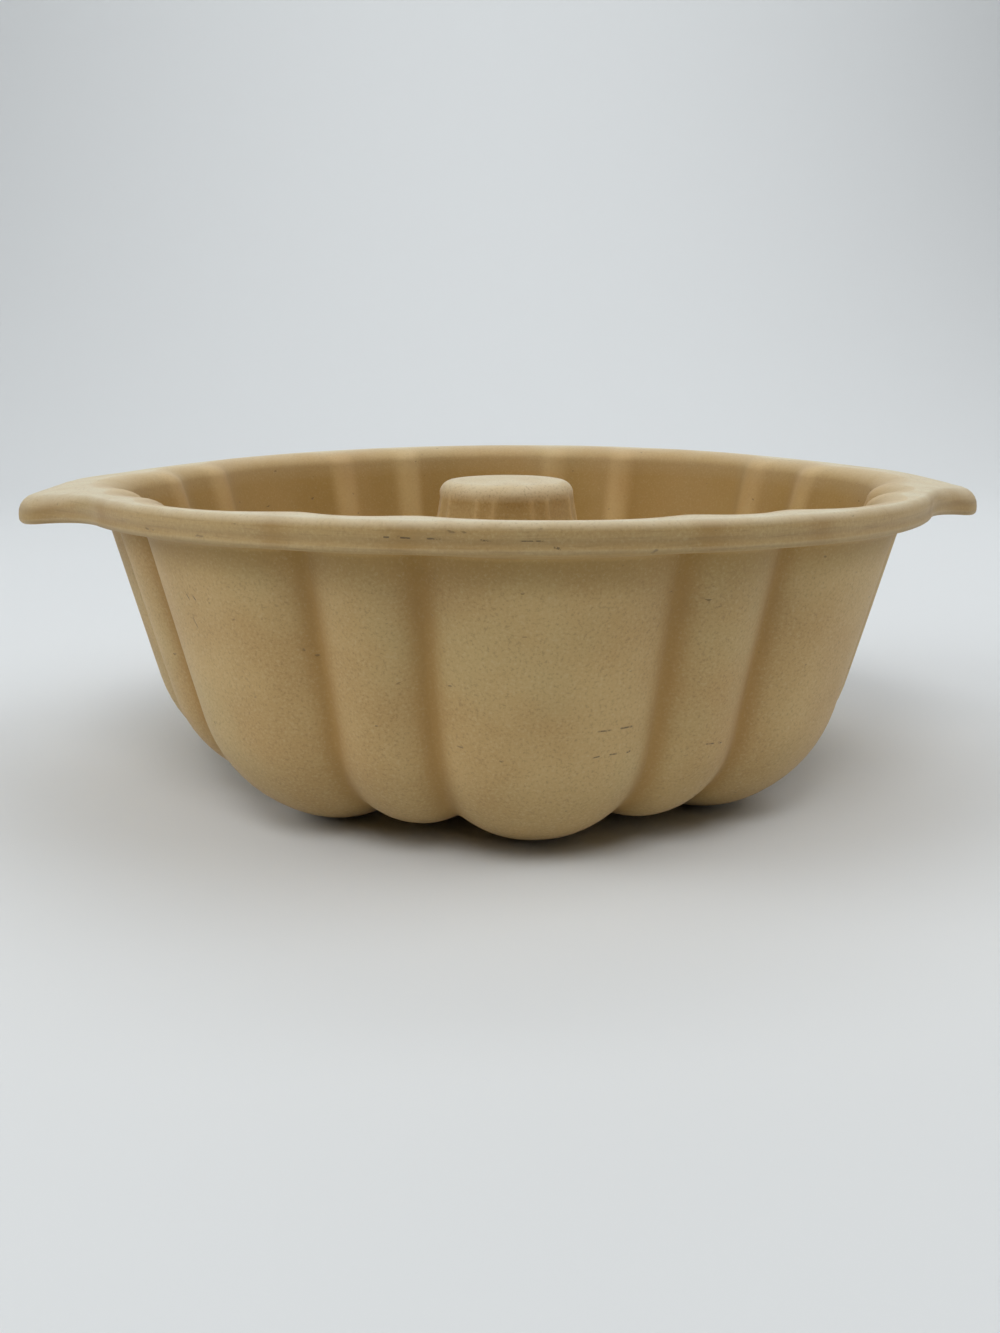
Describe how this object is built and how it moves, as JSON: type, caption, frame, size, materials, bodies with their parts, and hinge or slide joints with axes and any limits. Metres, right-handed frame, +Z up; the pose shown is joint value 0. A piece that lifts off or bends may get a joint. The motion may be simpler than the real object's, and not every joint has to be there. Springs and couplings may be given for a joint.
{
  "type": "fluted tube pan",
  "caption": "Round fluted cake pan in unglazed stoneware with a closed centre tube, rolled rim and side tab handles, for baking and moulding ring cakes.",
  "frame": {"origin": "on the floor, under the axis of the centre tube", "axes": "+Z up along the axis of the pan; +X through the right handle, seen from the front; the front, a wide flute, faces -Y"},
  "size_m": [0.2976, 0.264, 0.0954],
  "materials": {
    "stoneware": "unglazed, matt, fine sandy grain"
  },
  "bodies": {
    "root": {"fluted_wall": "stoneware", "trough_floor": "stoneware", "center_tube": "stoneware", "rim": "stoneware", "left_handle": "stoneware", "right_handle": "stoneware"}
  },
  "joints": []
}
